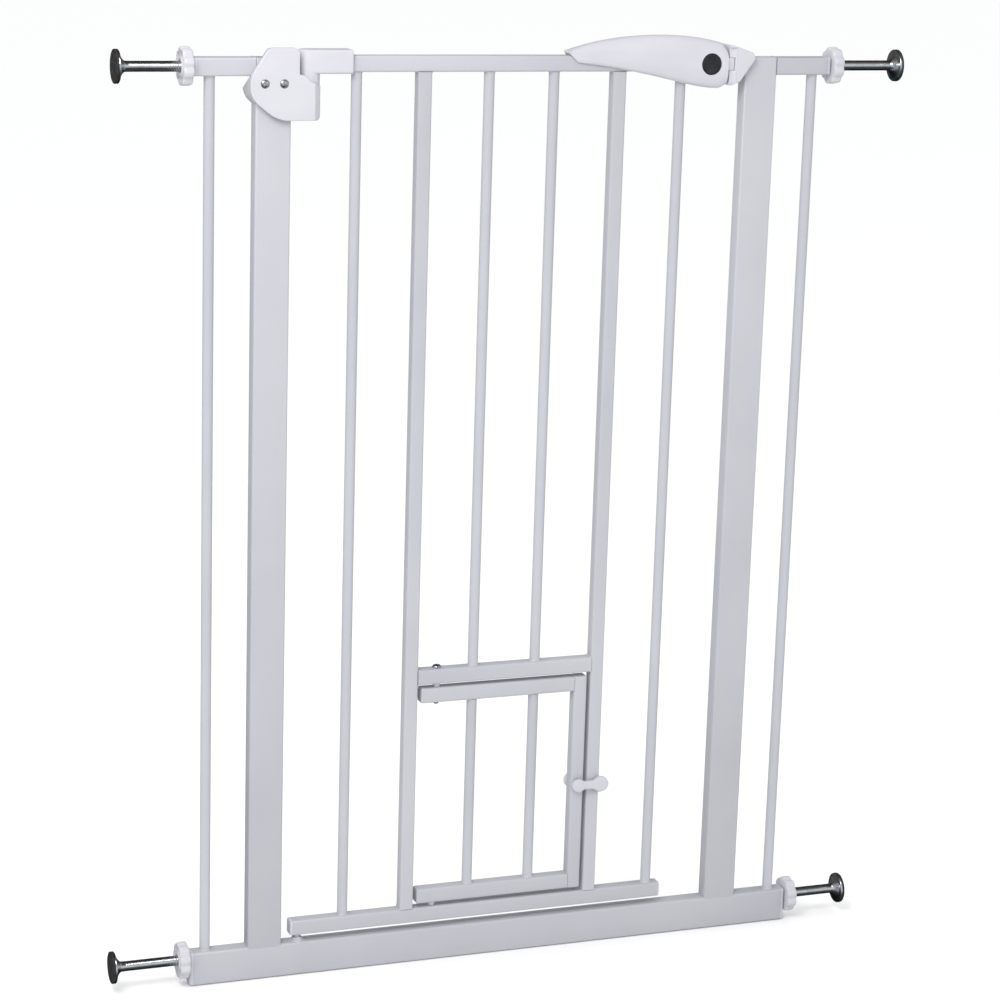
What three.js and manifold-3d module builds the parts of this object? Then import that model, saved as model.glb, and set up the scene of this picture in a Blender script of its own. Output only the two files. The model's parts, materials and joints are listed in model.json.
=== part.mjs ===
// Extra-tall walk-through pet gate that is clamped between two walls by four screw spindles.
// Millimetres, +Z up, +X to the right, the front faces -Y.
// The origin is the middle of the base rail's underside.
import * as THREE from 'three';
import { mergeVertices } from 'three/addons/utils/BufferGeometryUtils.js';
import Module from 'manifold-3d';

const wasm = await Module();
wasm.setup();

// ---- driving dimensions ----

const wall = 1.5; // wall of every rectangular tube
const fit = 0.3; // clearance between a piece and the one that it sits in
const plugFit = 0.7; // clearance round a square plug body, so that it clears the tube's inner corners

// fixed frame: base rail, two uprights, two stubs and two side bars
const frameDepth = 20;
const tubeEnd = 374;
const plugHead = 4;
const baseHeight = 40;
const uprightX = 289.3;
const uprightWidth = 40;
const frameTop = 1064;
const stubHeight = 20;
const sideBarX = 358.5;
const barRadius = 6;
const barWall = 1.2;

// gate leaf
const railHeight = 18;
const railDepth = 16;
const stileWidth = 16;
const barPitch = 77.2;
const bottomRailZ = 57;
const topRailZ = 1057;
const crossRailZ = 350.5;
const leafLeft = -258;
const leafRight = 209;
const capHead = 2.5;

// main hinge
const hingeX = -248;
const barrelRadius = 12.5;
const barrelBottom = 1031;
const sleeveEnd = -200;
const sleeveBottom = 1046.3;
const sleeveTop = 1072.5;
const housingDepth = 18;

// handle, buttons and latch bolt
const handleDepth = 17;
const handleEnd = 245.5;
const buttonX = 224;
const buttonRadius = 12;
const buttonTravel = 4;
const boltReach = 253.3;
const boltTravel = 6;
const keeperStart = 247.5;

// small door
const doorTopZ = 328;
const doorBottomZ = 80;
const doorLeft = -103.5;
const doorRight = 103.5;
const doorHingeX = -83;
const pivotRadius = 3;
const latchX = 95.5;
const latchZ = 202;

// wall spindles
const spindleRadius = 6;
const spindleLength = 128;
const wheelRadius = 21.5;
const wheelThickness = 12;
const wheelLobes = 9;
const padRadius = 18.5;
const padThickness = 3;
const discThickness = 2.5;
const flareLength = 7;
// how far out each pad's face stands: every spindle is screwed out by its own amount
const padFaces = { lower: { left: 469, right: 458 }, upper: { left: 463, right: 469 } };
const lowSpindleZ = 30;
const highSpindleZ = frameTop - stubHeight / 2;

// ---- worked-out sizes ----

const stubZ = frameTop - stubHeight / 2;
const stileX = 1.5 * barPitch;
const baseTop = baseHeight;
const leafFloor = bottomRailZ + railHeight / 2;
const leafCeiling = topRailZ - railHeight / 2;
const crossTop = crossRailZ + railHeight / 2;
const crossBottom = crossRailZ - railHeight / 2;
const doorTop = doorTopZ + railHeight / 2;
const doorBottom = doorBottomZ - railHeight / 2;
const wheelStart = tubeEnd + plugHead + 1;

// ---- materials ----

const finish = (color, roughness, metalness) =>
  new THREE.MeshStandardMaterial({ color, roughness, metalness });
const powderWhite = () => finish(0xe6e7ea, 0.45, 0.1);
const plasticWhite = () => finish(0xe8e7ee, 0.35, 0);
const plasticBlack = () => finish(0x161618, 0.5, 0);
const chrome = () => finish(0xb8b9bc, 0.15, 1);
const steel = () => finish(0xc2c3c4, 0.35, 1);
const rubber = () => finish(0x2a2a2c, 0.9, 0);

// ---- solids ----

const X = new THREE.Vector3(1, 0, 0);
const Y = new THREE.Vector3(0, 1, 0);
const Z = new THREE.Vector3(0, 0, 1);
const basis = (a, b, c) => new THREE.Matrix4().makeBasis(a, b, c);
const minus = (v) => v.clone().negate();

// shapes are drawn in their own plane and extruded along its normal; these matrices stand them up
const standX = basis(Y, Z, X);
const standXZ = basis(X, Z, minus(Y));
// lathe profiles turn round their own Y; these matrices lay that axis along X, Y or Z
const latheAxis = { x: basis(Y, X, minus(Z)), y: new THREE.Matrix4(), z: basis(X, Z, minus(Y)) };
const halfTurn = basis(minus(X), minus(Y), Z);

// one indexed surface with shared corners and no collapsed triangles
function welded(geometry) {
  const bare = geometry.clone();
  bare.deleteAttribute('normal');
  bare.deleteAttribute('uv');
  const merged = mergeVertices(bare, 1e-4);
  const corners = merged.index.array;
  const kept = [];
  for (let i = 0; i < corners.length; i += 3) {
    const [a, b, c] = corners.slice(i, i + 3);
    if (a !== b && b !== c && c !== a) kept.push(a, b, c);
  }
  merged.setIndex(kept);
  return merged;
}

function toSolid(geometry) {
  const surface = welded(geometry);
  return new wasm.Manifold(new wasm.Mesh({
    numProp: 3,
    vertProperties: new Float32Array(surface.attributes.position.array),
    triVerts: new Uint32Array(surface.index.array),
  }));
}

function toGeometry(solid) {
  const mesh = solid.getMesh();
  const geometry = new THREE.BufferGeometry();
  geometry.setAttribute('position', new THREE.BufferAttribute(mesh.vertProperties, 3));
  geometry.setIndex(new THREE.BufferAttribute(mesh.triVerts, 1));
  return geometry;
}

const cut = (body, ...tools) => {
  const carved = tools.reduce((rest, tool) => rest.subtract(toSolid(tool)), toSolid(body));
  return toGeometry(carved);
};
const join = (first, ...others) => {
  const whole = others.reduce((sum, other) => sum.add(toSolid(other)), toSolid(first));
  return toGeometry(whole);
};

function block(low, high) {
  const size = high.map((h, i) => h - low[i]);
  const middle = high.map((h, i) => (h + low[i]) / 2);
  return new THREE.BoxGeometry(...size).translate(...middle);
}

function roundedRectangle(width, height, radius, target = new THREE.Shape()) {
  const w = width / 2 - radius;
  const h = height / 2 - radius;
  target.absarc(w, -h, radius, -Math.PI / 2, 0);
  target.absarc(w, h, radius, 0, Math.PI / 2);
  target.absarc(-w, h, radius, Math.PI / 2, Math.PI);
  target.absarc(-w, -h, radius, Math.PI, 1.5 * Math.PI);
  target.closePath();
  return target;
}

// a length of hollow tube with rounded corners, along its own Z
function hollowTube(length, width, height, radius = 2.2) {
  const shape = roundedRectangle(width, height, radius);
  const inner = roundedRectangle(width - 2 * wall, height - 2 * wall, radius - wall / 2, new THREE.Path());
  shape.holes.push(inner);
  return new THREE.ExtrudeGeometry(shape, { depth: length, bevelEnabled: false, curveSegments: 2 });
}

const tubeX = (from, to, depth, height, z) =>
  hollowTube(to - from, depth, height).applyMatrix4(standX).translate(from, 0, z);
const tubeZ = (x, from, to, width, depth) => hollowTube(to - from, width, depth).translate(x, 0, from);

function turned(profile, axis, at = [0, 0, 0], segments = 16) {
  const points = profile.map(([radius, height]) => new THREE.Vector2(radius, height));
  return new THREE.LatheGeometry(points, segments).applyMatrix4(latheAxis[axis]).translate(...at);
}

const rod = (axis, radius, from, to, at, segments) =>
  turned([[0, from], [radius, from], [radius, to], [0, to]], axis, at, segments);

const ring = (axis, inner, outer, from, to, at, segments) =>
  turned([[inner, from], [outer, from], [outer, to], [inner, to], [inner, from]], axis, at, segments);

const roundTube = (x, from, to) => ring('z', barRadius - barWall, barRadius, from, to, [x, 0, 0], 16);

// an XZ outline made into a plate that reaches from yNear to yFar
const plate = (shape, yNear, yFar, bevel = 0) =>
  new THREE.ExtrudeGeometry(shape, {
    depth: yFar - yNear - 2 * bevel,
    bevelEnabled: bevel > 0,
    bevelThickness: bevel,
    bevelSize: bevel,
    bevelOffset: -bevel,
    bevelSegments: 1,
    curveSegments: 6,
  }).applyMatrix4(standXZ).translate(0, yFar - bevel, 0);

// the front or the rear half of a plate, for a casing that is split down its middle
const seam = 0.2;
const everywhere = 2000;
const frontOnly = () => block([-everywhere, -seam, -everywhere], [everywhere, everywhere, everywhere]);
const rearOnly = () => block([-everywhere, -everywhere, -everywhere], [everywhere, seam, everywhere]);

function outline(points) {
  const shape = new THREE.Shape();
  shape.setFromPoints(points.map(([x, z]) => new THREE.Vector2(x, z)));
  return shape;
}

const gate = new THREE.Group();

function add(name, geometry, material) {
  const surface = welded(geometry);
  surface.computeVertexNormals();
  const mesh = new THREE.Mesh(surface, material);
  mesh.name = name;
  gate.add(mesh);
}

const sides = [['left', -1], ['right', 1]];
const toSide = (geometry, side) => (side < 0 ? geometry.applyMatrix4(halfTurn) : geometry);

// ---- fixed frame ----

const screwOffsets = [-11.7, 9.8]; // from the upright's centre line
const screwZ = 1036.4;
const screwHole = (x, radius) => rod('y', radius, -60, 60, [x, 0, screwZ], 16);

add('base_rail', cut(
  tubeX(-tubeEnd, tubeEnd, frameDepth, baseHeight, baseHeight / 2),
  rod('z', 6.8, baseTop - 10, baseTop + 5, [hingeX, 0, 0]),
), powderWhite());

add('left_upright', cut(
  tubeZ(-uprightX, baseTop, frameTop, uprightWidth, frameDepth),
  ...screwOffsets.map((offset) => screwHole(-uprightX + offset, 2.3)),
), powderWhite());

add('right_upright', tubeZ(uprightX, baseTop, frameTop, uprightWidth, frameDepth), powderWhite());

// the plug that closes the right upright lies flush with its walls
add('right_upright_plug', block(
  [uprightX - uprightWidth / 2 + wall + plugFit, -frameDepth / 2 + wall + plugFit, frameTop - 12],
  [uprightX + uprightWidth / 2 - wall - plugFit, frameDepth / 2 - wall - plugFit, frameTop],
), plasticWhite());

// an end plug holds the spindle: a head over the tube's end and a body inside it
function endPlug(height, spindleOffset) {
  const head = new THREE.ExtrudeGeometry(roundedRectangle(frameDepth, height, 2.2), {
    depth: plugHead, bevelEnabled: false, curveSegments: 2,
  }).applyMatrix4(standX).translate(tubeEnd, 0, 0);
  const inside = wall + plugFit;
  const body = block(
    [tubeEnd - 14, -frameDepth / 2 + inside, -height / 2 + inside],
    [tubeEnd + 1, frameDepth / 2 - inside, height / 2 - inside],
  );
  const hole = rod('x', spindleRadius + fit, tubeEnd - 30, tubeEnd + 30, [0, 0, spindleOffset]);
  return cut(join(head, body), hole);
}

for (const [name, side] of sides) {
  const inner = uprightX + uprightWidth / 2;
  add(`${name}_top_stub`, toSide(tubeX(inner, tubeEnd, frameDepth, stubHeight, stubZ), side), powderWhite());
  add(`${name}_side_bar`, roundTube(side * sideBarX, baseTop, frameTop - stubHeight), powderWhite());
  const lowPlug = endPlug(baseHeight, lowSpindleZ - baseHeight / 2).translate(0, 0, baseHeight / 2);
  const highPlug = endPlug(stubHeight, 0).translate(0, 0, stubZ);
  add(`${name}_base_plug`, toSide(lowPlug, side), plasticWhite());
  add(`${name}_stub_plug`, toSide(highPlug, side), plasticWhite());
}

// ---- wall spindles, with a hand wheel and a rubber pad each ----

function scallopedWheel() {
  const edge = 1; // bevel round the rim and round the bore
  const steps = 5 * wheelLobes;
  const shape = new THREE.Shape();
  const points = Array.from({ length: steps }, (_, i) => {
    const angle = (i / steps) * 2 * Math.PI;
    const radius = wheelRadius - edge - 1.1 * (1 - Math.cos(wheelLobes * angle));
    return new THREE.Vector2(radius * Math.cos(angle), radius * Math.sin(angle));
  });
  shape.setFromPoints(points);
  shape.holes.push(new THREE.Path().absarc(0, 0, spindleRadius + fit + edge, 0, 2 * Math.PI));
  return new THREE.ExtrudeGeometry(shape, {
    depth: wheelThickness - 2 * edge,
    bevelThickness: edge,
    bevelSize: edge,
    bevelSegments: 1,
    curveSegments: 12,
  }).applyMatrix4(standX).translate(wheelStart + edge, 0, 0);
}

function spindle(padFace) {
  const discFront = padFace - padThickness;
  const discBack = discFront - discThickness;
  const innerEnd = discFront - spindleLength;
  const flare = [0, 0.4, 0.75, 1].map((t) => [
    spindleRadius + (padRadius - 3 - spindleRadius) * t ** 1.7,
    discBack - flareLength * (1 - t),
  ]);
  return turned([
    [0, innerEnd],
    [spindleRadius - 1, innerEnd],
    [spindleRadius, innerEnd + 1],
    ...flare,
    [padRadius, discBack],
    [padRadius, discFront],
    [0, discFront],
  ], 'x');
}

const wallPad = (padFace) => turned([
  [0, padFace - padThickness],
  [padRadius, padFace - padThickness],
  [padRadius, padFace - 1],
  [padRadius - 1, padFace],
  [0, padFace],
], 'x');

for (const [name, side] of sides) {
  for (const [level, z] of [['lower', lowSpindleZ], ['upper', highSpindleZ]]) {
    const face = padFaces[level][name];
    add(`${level}_${name}_handwheel`, toSide(scallopedWheel(), side).translate(0, 0, z), plasticWhite());
    add(`${level}_${name}_spindle`, toSide(spindle(face), side).translate(0, 0, z), chrome());
    add(`${level}_${name}_wall_pad`, toSide(wallPad(face), side).translate(0, 0, z), rubber());
  }
}

// ---- main hinge ----

// two plastic shells wrap the left upright's top and hold the barrel in a bore between them
const housingOutline = () => outline([
  [-294, 1075], [-267, 1075], [-262.3, 1069], [-262.3, 1046.6], [-255.5, 1044.4], [-249, 1038.6],
  [-243, 1035.6], [-238.5, 1034], [-237, 1030], [-237, 1001], [-241, 996.5], [-269, 997],
  [-286, 999], [-297, 1003.5], [-306, 1010.5], [-313, 1018], [-317, 1027], [-317.2, 1038],
  [-315, 1047.5], [-309.5, 1057], [-302, 1069],
]);

const uprightSpace = () => block(
  [-uprightX - uprightWidth / 2 - fit, -frameDepth / 2 - fit, baseTop],
  [-uprightX + uprightWidth / 2 + fit, frameDepth / 2 + fit, frameTop + fit],
);
const stubSpace = () => block(
  [-tubeEnd, -frameDepth / 2 - fit, frameTop - stubHeight - fit],
  [-uprightX, frameDepth / 2 + fit, frameTop + fit],
);
const barrelBore = () => rod('z', barrelRadius + 0.5, barrelBottom - 0.5, frameTop + 20, [hingeX, 0, 0], 24);
const hingePinRadius = 5;
const pinBore = () => rod('z', hingePinRadius + fit, 1008, frameTop, [hingeX, 0, 0]);
const bevelOutline = [[-245, 30], [-245, housingDepth], [-236, 9], [-220, 9], [-220, 30]];
const cornerBevel = (side) => new THREE.ExtrudeGeometry(
  outline(bevelOutline.map(([x, y]) => [x, side * y])),
  { depth: 200, bevelEnabled: false },
).translate(0, 0, 950);

// cuts a casing along an edge of its outline so that it leans inwards from the front to the rear
function leaningCut(from, to, lean) {
  const edge = new THREE.Vector3(to[0] - from[0], 0, to[1] - from[1]).normalize();
  const outwards = edge.clone().cross(Y);
  const backwards = new THREE.Vector3(0, 2 * housingDepth, 0).addScaledVector(outwards, -lean).normalize();
  return block([-60, 0, 0], [60, 60, 40])
    .applyMatrix4(basis(edge, backwards, edge.clone().cross(backwards)))
    .translate(from[0], 3 - housingDepth, from[1]);
}
const leaningCuts = () => [
  leaningCut([-294, 1075.5], [-267, 1075.5], 10),
  leaningCut([-317, 1045], [-298.2, 1075], 10),
];

const frontShell = cut(
  plate(housingOutline(), -housingDepth, housingDepth, 1.5), frontOnly(), ...leaningCuts(),
  uprightSpace(), stubSpace(), barrelBore(), pinBore(), cornerBevel(-1),
  ...screwOffsets.map((offset) => screwHole(-uprightX + offset, 2.3)),
  ...screwOffsets.map((offset) => rod('y', 5, -30, 1.6 - housingDepth, [-uprightX + offset, 0, screwZ])),
);
const rearShell = cut(
  plate(housingOutline(), -housingDepth, housingDepth, 1.5), rearOnly(), ...leaningCuts(),
  uprightSpace(), stubSpace(), barrelBore(), pinBore(), cornerBevel(1),
  ...screwOffsets.map((offset) => rod('y', 2.3, 0, housingDepth - 3, [-uprightX + offset, 0, screwZ], 16)),
);
add('hinge_housing_front', frontShell, plasticWhite());
add('hinge_housing_rear', rearShell, plasticWhite());

screwOffsets.forEach((offset, i) => {
  const head = 1.6 - housingDepth;
  const profile = [
    [0, housingDepth - 4], [2, housingDepth - 4], [2, head], [4.6, head], [4.2, head - 1.2],
    [2.4, head - 2], [0, head - 2.2],
  ];
  add(`hinge_screw_${i + 1}`, turned(profile.reverse(), 'y', [-uprightX + offset, 0, screwZ], 12), steel());
});

// the sleeve slips over the top rail's end and turns on its barrel in the housing
const sleeveShape = () => roundedRectangle(2 * barrelRadius, sleeveTop - sleeveBottom, 2.5);
const sleeveRail = () => new THREE.ExtrudeGeometry(sleeveShape(), {
  depth: sleeveEnd - hingeX, bevelEnabled: false, curveSegments: 4,
}).applyMatrix4(standX).translate(hingeX, 0, (sleeveTop + sleeveBottom) / 2);
const barrel = () => turned([
  [0, 1012], [hingePinRadius - 1, 1012], [hingePinRadius, 1013], [hingePinRadius, barrelBottom],
  [barrelRadius, barrelBottom], [barrelRadius, sleeveTop - 1.5],
  [barrelRadius - 1.5, sleeveTop], [0, sleeveTop],
], 'z', [hingeX, 0, 0], 24);
const railStart = hingeX + barrelRadius + 0.5;
add('hinge_sleeve', cut(
  join(sleeveRail(), barrel()),
  block(
    [railStart - fit, -railDepth / 2 - fit, topRailZ - railHeight / 2 - fit],
    [sleeveEnd + 5, railDepth / 2 + fit, topRailZ + railHeight / 2 + fit],
  ),
), plasticWhite());

// the leaf's lower end turns on a pin in a bush in the base rail
add('lower_hinge_bush', turned([
  [4.3, baseTop - 10], [6.5, baseTop - 10], [6.5, baseTop], [8.5, baseTop], [8.5, baseTop + 1],
  [5.8, baseTop + 1], [5.8, baseTop + 4], [4.3, baseTop + 4], [4.3, baseTop - 10],
], 'z', [hingeX, 0, 0]), plasticWhite());
add('lower_hinge_pin', rod('z', 4, baseTop - 8, bottomRailZ + 5, [hingeX, 0, 0]), powderWhite());

// ---- gate leaf ----

const pivotHole = (from, to) => rod('z', pivotRadius + fit, from, to, [doorHingeX, 0, 0], 16);
const inset = railDepth / 2 - wall - plugFit;

add('gate_top_rail', tubeX(railStart, 203, railDepth, railHeight, topRailZ), powderWhite());
add('gate_bottom_rail', cut(
  tubeX(leafLeft + capHead, leafRight - capHead, railDepth, railHeight, bottomRailZ),
  rod('z', 4.3, bottomRailZ - 20, bottomRailZ, [hingeX, 0, 0]),
  pivotHole(bottomRailZ, leafFloor + 5),
), powderWhite());
add('gate_cross_rail', cut(
  tubeX(-stileX + stileWidth / 2, stileX - stileWidth / 2, railDepth, railHeight, crossRailZ),
  pivotHole(crossBottom - 5, crossTop + 5),
), powderWhite());

for (const [name, side] of sides) {
  const stile = tubeZ(side * stileX, leafFloor, leafCeiling, stileWidth, railDepth);
  add(`gate_${name}_stile`, stile, powderWhite());
}
[-2.5, -0.5, 0.5, 2.5].forEach((place, i) => {
  const foot = Math.abs(place) < 1 ? crossTop : leafFloor;
  add(`gate_bar_${i + 1}`, roundTube(place * barPitch, foot, leafCeiling), powderWhite());
});

// a cap closes a rail's end: a head flush with the tube and a short body inside it
function railCap(end, side, z) {
  const head = new THREE.ExtrudeGeometry(roundedRectangle(railDepth, railHeight, 2.2), {
    depth: capHead, bevelEnabled: false, curveSegments: 2,
  }).applyMatrix4(standX).translate(-capHead, 0, 0);
  const reach = railHeight / 2 - wall - plugFit;
  const body = block([-capHead - 2.5, -inset, -reach], [-capHead + 1, inset, reach]);
  return toSide(join(head, body), side).translate(end, 0, z);
}
add('gate_bottom_cap_left', railCap(leafLeft, -1, bottomRailZ), plasticWhite());
add('gate_bottom_cap_right', railCap(leafRight, 1, bottomRailZ), plasticWhite());

// ---- handle, buttons, latch bolt and keeper ----

function handleOutline() {
  const shape = new THREE.Shape();
  shape.moveTo(54.5, 1071.2);
  shape.quadraticCurveTo(51, 1069, 53.5, 1067);
  shape.bezierCurveTo(58, 1066, 60, 1061, 64, 1058.2);
  shape.bezierCurveTo(165, 1047, 205, 1027, 238, 1029.6);
  shape.quadraticCurveTo(handleEnd - 0.5, 1030, handleEnd - 0.3, 1034);
  shape.quadraticCurveTo(handleEnd + 0.4, 1057, handleEnd - 2.5, 1079.6);
  shape.bezierCurveTo(190, 1096, 100, 1089, 54.5, 1071.2);
  return shape;
}

// the bolt is a narrow stem with a wide head, which fills the keeper's groove
const boltStem = { y: 5, z: 5.5 };
const boltHead = { y: 14, z: 7, length: 8.8 };
const railSpace = () => block(
  [40, -railDepth / 2 - fit, topRailZ - railHeight / 2 - fit],
  [203 + fit, railDepth / 2 + fit, topRailZ + railHeight / 2 + fit],
);
const lastBarSpace = () => rod('z', barRadius + fit, 1000, topRailZ, [2.5 * barPitch, 0, 0], 16);
const buttonBore = () => rod('y', buttonRadius + fit, -40, 40, [buttonX, 0, topRailZ], 24);
const boltSpace = () => block(
  [buttonX, -boltStem.y - fit, topRailZ - boltStem.z - fit],
  [handleEnd + 5, boltStem.y + fit, topRailZ + boltStem.z + fit],
);
const boltHeadSpace = () => block(
  [boltReach - boltHead.length - boltTravel - fit, -boltHead.y - fit, topRailZ - boltHead.z - fit],
  [handleEnd + 5, boltHead.y + fit, topRailZ + boltHead.z + fit],
);
const handleShell = (otherHalf) => cut(
  plate(handleOutline(), -handleDepth, handleDepth, 1.5), otherHalf,
  railSpace(), lastBarSpace(), buttonBore(), boltSpace(), boltHeadSpace(),
);
add('handle_front_shell', handleShell(frontOnly()), plasticWhite());
add('handle_rear_shell', handleShell(rearOnly()), plasticWhite());

// a button stands 0.5 mm proud of its shell and is pressed towards the middle
const buttonInner = handleDepth - 7;
const button = () => turned([
  [0, buttonInner], [buttonRadius, buttonInner], [buttonRadius, handleDepth - 0.5],
  [buttonRadius - 1, handleDepth + 0.3], [0, handleDepth + 0.5],
], 'y', [buttonX, 0, topRailZ], 24);
add('rear_button', button(), plasticBlack());
add('front_button', button().applyMatrix4(halfTurn).translate(2 * buttonX, 0, 0), plasticBlack());

// return spring between the buttons, drawn at the length it has when they are pressed
function buttonSpring() {
  const length = 2 * (buttonInner - buttonTravel) - 2;
  const turns = 3;
  const coil = Array.from({ length: turns * 8 + 1 }, (_, i) => {
    const angle = (i / 8) * 2 * Math.PI;
    const along = (i / (turns * 8) - 0.5) * (length - 1);
    return new THREE.Vector3(3.5 * Math.cos(angle), along, 3.5 * Math.sin(angle));
  });
  const wire = new THREE.Shape().absarc(0, 0, 0.5, 0, 2 * Math.PI);
  return new THREE.ExtrudeGeometry(wire, {
    extrudePath: new THREE.CatmullRomCurve3(coil), steps: turns * 8, bevelEnabled: false, curveSegments: 2,
  }).translate(buttonX - 3, 0, topRailZ);
}
add('button_spring', buttonSpring(), steel());

add('latch_bolt', join(
  block(
    [boltReach - 16, -boltStem.y, topRailZ - boltStem.z],
    [boltReach - boltHead.length + 1, boltStem.y, topRailZ + boltStem.z],
  ),
  block(
    [boltReach - boltHead.length, -boltHead.y, topRailZ - boltHead.z],
    [boltReach, boltHead.y, topRailZ + boltHead.z],
  ),
), plasticWhite());

// the keeper hooks over the right upright's inner top corner; its groove runs from front to back
const keeperOutline = () => outline([
  [keeperStart, 1079], [258.5, 1076], [270, 1072.6], [275.5, 1070], [278.5, 1066.5], [279, 1062],
  [262, 1039], [258, 1035.5], [keeperStart, 1032],
]);
add('latch_keeper', cut(
  plate(keeperOutline(), -handleDepth, handleDepth, 1.2),
  block(
    [uprightX - uprightWidth / 2 - fit, -frameDepth / 2 - fit, 1000],
    [uprightX, frameDepth / 2 + fit, frameTop + fit],
  ),
  block([keeperStart - 5, -40, topRailZ - 7.5], [boltReach + 0.7, 40, topRailZ + 7.5]),
), plasticWhite());

// ---- small door ----

const doorRailEnd = doorRight - stileWidth;

// the door's rails are closed at their free left ends
const doorRail = (z) => cut(
  new THREE.ExtrudeGeometry(roundedRectangle(railDepth, railHeight, 2.2), {
    depth: doorRailEnd - doorLeft, bevelEnabled: false, curveSegments: 2,
  }).applyMatrix4(standX).translate(doorLeft, 0, z),
  block(
    [doorLeft + wall, -railDepth / 2 + wall, z - railHeight / 2 + wall],
    [doorRailEnd + 5, railDepth / 2 - wall, z + railHeight / 2 - wall],
  ),
);
add('door_top_rail', cut(
  doorRail(doorTopZ),
  pivotHole(doorTop - 30, doorTop + 5),
), powderWhite());
add('door_bottom_rail', cut(
  doorRail(doorBottomZ),
  pivotHole(doorBottom - 5, doorBottomZ),
), powderWhite());
add('door_stile', cut(
  new THREE.ExtrudeGeometry(roundedRectangle(stileWidth, railDepth, 2.2), {
    depth: doorTop - doorBottom, bevelEnabled: false, curveSegments: 2,
  }).translate(latchX, 0, doorBottom),
  block(
    [latchX - stileWidth / 2 + wall, -railDepth / 2 + wall, doorBottom - 5],
    [latchX + stileWidth / 2 - wall, railDepth / 2 - wall, doorTop - wall],
  ),
  rod('y', pivotRadius + fit, -20, 20, [latchX, 0, latchZ], 16),
), powderWhite());
[['left', -0.5], ['right', 0.5]].forEach(([name, place]) => {
  const bar = roundTube(place * barPitch, doorBottomZ + railHeight / 2, doorTopZ - railHeight / 2);
  add(`door_bar_${name}`, bar, powderWhite());
});

// the door hangs between a headed bolt above and a pin below, with a bush on each
add('door_hinge_bolt', turned([
  [0, doorTop - railHeight - 3], [pivotRadius, doorTop - railHeight - 3], [pivotRadius, crossTop],
  [5.2, crossTop], [5.2, crossTop + 2.4], [3.6, crossTop + 3.6], [0, crossTop + 3.8],
], 'z', [doorHingeX, 0, 0], 16), steel());
const doorPin = rod('z', pivotRadius, bottomRailZ + 2, doorBottomZ + 2, [doorHingeX, 0, 0], 16);
add('door_hinge_pin', doorPin, steel());
const doorBush = (from, to) => ring('z', pivotRadius + fit, 4.4, from + fit, to - fit, [doorHingeX, 0, 0]);
add('door_bush_upper', doorBush(doorTop, crossBottom), plasticWhite());
add('door_bush_lower', doorBush(leafFloor, doorBottom), plasticWhite());

// ---- turn latch of the small door: a bone-shaped lever on a shaft, and a round knob behind ----

function leverOutline() {
  const reach = 28.5;
  const shape = new THREE.Shape();
  shape.absarc(latchX, latchZ, 8, 0.32 * Math.PI, 1.68 * Math.PI);
  shape.quadraticCurveTo(latchX + 13, latchZ - 3.8, latchX + reach - 6, latchZ - 7.4);
  shape.absarc(latchX + reach, latchZ, 9.5, 1.28 * Math.PI, 2.72 * Math.PI);
  shape.quadraticCurveTo(latchX + 13, latchZ + 3.8, latchX + 4.3, latchZ + 6.7);
  return shape;
}
const leverBack = -railDepth / 2 - 0.5;
const knobFront = railDepth / 2 + 0.5;
add('door_latch_lever', join(
  plate(leverOutline(), leverBack - 7.5, leverBack, 1.5),
  rod('y', pivotRadius, leverBack - 2, knobFront + 4, [latchX, 0, latchZ], 16),
), plasticWhite());
add('door_latch_knob', turned([
  [pivotRadius + 0.1, knobFront], [8.6, knobFront], [9.5, knobFront + 1], [9.5, knobFront + 5],
  [8, knobFront + 6.5], [0, knobFront + 7], [0, knobFront + 4.1], [pivotRadius + 0.1, knobFront + 4.1],
  [pivotRadius + 0.1, knobFront],
], 'y', [latchX, 0, latchZ]), plasticWhite());

export default gate;
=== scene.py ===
import json
import math

import bmesh
import bpy
from mathutils import Matrix, Vector


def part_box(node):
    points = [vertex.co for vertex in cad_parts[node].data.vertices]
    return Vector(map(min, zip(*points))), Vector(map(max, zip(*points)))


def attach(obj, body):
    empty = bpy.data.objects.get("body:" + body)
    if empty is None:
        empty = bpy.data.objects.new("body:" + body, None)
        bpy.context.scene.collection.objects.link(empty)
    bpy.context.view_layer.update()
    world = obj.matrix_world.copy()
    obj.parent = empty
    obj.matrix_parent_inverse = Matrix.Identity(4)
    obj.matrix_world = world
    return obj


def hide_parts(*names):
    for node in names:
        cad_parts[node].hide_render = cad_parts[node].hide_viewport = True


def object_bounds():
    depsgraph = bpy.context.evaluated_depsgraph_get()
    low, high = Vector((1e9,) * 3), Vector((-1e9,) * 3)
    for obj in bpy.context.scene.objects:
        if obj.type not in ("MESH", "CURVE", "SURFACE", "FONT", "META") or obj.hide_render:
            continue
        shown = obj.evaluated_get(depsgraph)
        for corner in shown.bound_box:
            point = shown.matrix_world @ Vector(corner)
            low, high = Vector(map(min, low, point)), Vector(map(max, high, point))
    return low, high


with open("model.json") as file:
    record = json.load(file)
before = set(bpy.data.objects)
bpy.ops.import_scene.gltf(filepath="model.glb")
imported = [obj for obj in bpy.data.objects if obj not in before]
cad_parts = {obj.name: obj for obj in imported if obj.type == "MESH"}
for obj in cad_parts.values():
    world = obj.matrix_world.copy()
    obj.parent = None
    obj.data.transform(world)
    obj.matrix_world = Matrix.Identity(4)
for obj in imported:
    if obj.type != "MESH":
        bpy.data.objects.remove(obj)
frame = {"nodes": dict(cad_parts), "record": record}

CAD_LOW, CAD_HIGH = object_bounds()
MM = 0.001
WALL = 1.5 * MM  # wall of the rectangular tubes
CORNER = 2.4 * MM  # outer corner radius of the rectangular tubes
SEAM = 0.2 * MM  # half the gap between the two shells of a casing
BARREL = 12.5 * MM  # outer radius of the main hinge's barrel
STEM = (5 * MM, 5.5 * MM)  # half width and half height of the latch bolt's stem
FAR = 0.1  # how far a cutter runs past the piece it cuts
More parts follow.
